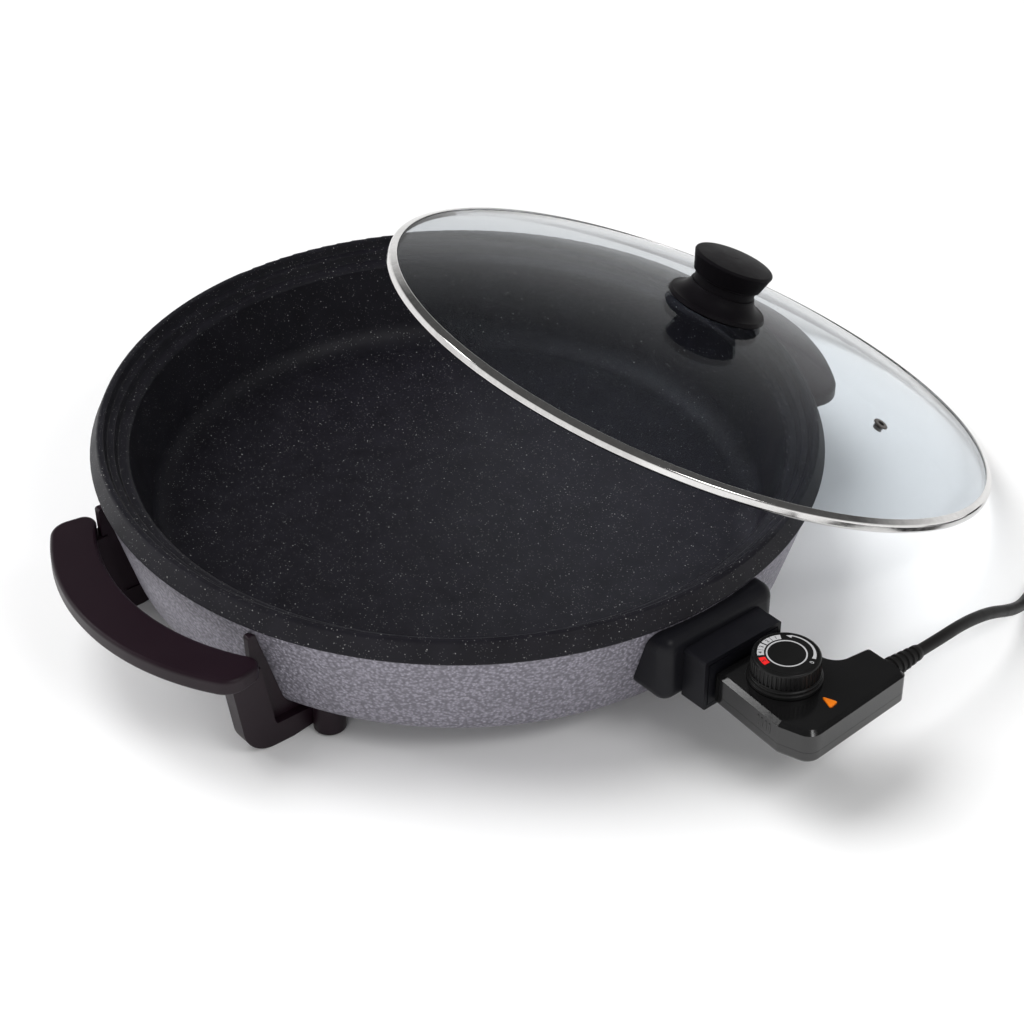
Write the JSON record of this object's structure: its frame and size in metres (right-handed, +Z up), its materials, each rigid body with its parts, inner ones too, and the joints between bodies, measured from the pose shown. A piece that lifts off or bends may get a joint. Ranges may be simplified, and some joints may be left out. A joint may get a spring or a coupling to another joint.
{
  "type": "electric frying pan",
  "caption": "Round electric frying pan with a double wall, handles that form its feet, a glass lid leaning on the rim and a plug-in thermostat control with a dial and a mains lead.",
  "frame": {"origin": "on the pan's axis at the level of the feet", "axes": "+Z up along the pan's axis, the handles within 2 degrees of X, the control plugs in from -Y"},
  "size_m": [0.598, 0.5273, 0.1583],
  "materials": {
    "speckled_enamel": "cast aluminium with a black non-stick coating, fine pale specks, satin",
    "hammertone": "dark grey hammered paint",
    "bakelite": "brown-black heat-proof plastic, satin",
    "socket_plastic": "black heat-proof plastic, satin",
    "lid_glass": "clear toughened glass",
    "polished_steel": "polished stainless steel",
    "steel": "plain steel",
    "element_steel": "dull sheathed element",
    "ceramic": "white ceramic",
    "brass": "plain brass",
    "aluminium": "plain drawn aluminium",
    "control_black": "gloss black plastic",
    "dial_black": "satin black plastic",
    "seal": "black silicone",
    "lens_orange": "clear orange plastic",
    "lamp_glass": "clear lamp glass",
    "cord_rubber": "matt black rubber",
    "tie_plastic": "black plastic strap"
  },
  "bodies": {
    "pan": {"pan_shell": "speckled_enamel", "outer_body": "hammertone", "heating_element": "element_steel", "terminal_pins": "steel", "ceramic_bushes": "ceramic", "probe_sleeve": "aluminium", "socket_base": "socket_plastic", "socket_shroud": "socket_plastic", "socket_screws": "steel", "handle_right": "bakelite", "handle_left": "bakelite", "handle_screws": "steel"},
    "lid": {"lid_glass": "lid_glass", "lid_band": "polished_steel", "lid_vent": "polished_steel", "knob_seal": "seal", "knob_skirt": "bakelite", "lid_knob": "bakelite", "knob_washer": "steel", "knob_screw": "steel"},
    "control": {"control_top_shell": "control_black", "control_bottom_shell": "control_black", "control_nose": "socket_plastic", "receptacles": "brass", "temperature_probe": "aluminium", "thermostat_frame": "steel", "contact_spacers": "ceramic", "lower_contact_leaf": "brass", "upper_contact_leaf": "brass", "indicator_lens": "lens_orange", "neon_lamp": "lamp_glass", "cord_clamp": "dial_black", "shell_screws": "steel", "strain_relief": "cord_rubber", "cord_run": "cord_rubber", "cord_coil": "cord_rubber", "coil_tie": "tie_plastic", "plug_body": "cord_rubber", "plug_pins": "polished_steel", "plug_earth_clips": "polished_steel"},
    "dial": {"dial_knob": "dial_black", "dial_face": "dial_black", "dial_spindle": "brass"}
  },
  "joints": [
    {"name": "lid_lift", "type": "slide", "parent": "pan", "child": "lid", "axis": [0, 0, 1], "range_m": [0, 0.2]},
    {"name": "control_unplug", "type": "slide", "parent": "pan", "child": "control", "axis": [0, -1, 0], "range_m": [0, 0.06]},
    {"name": "dial_turn", "type": "hinge", "parent": "control", "child": "dial", "pos_m": [0.0035, -0.2608, 0.063], "axis": [0, 0, 1], "range_deg": [-250, 0]}
  ]
}
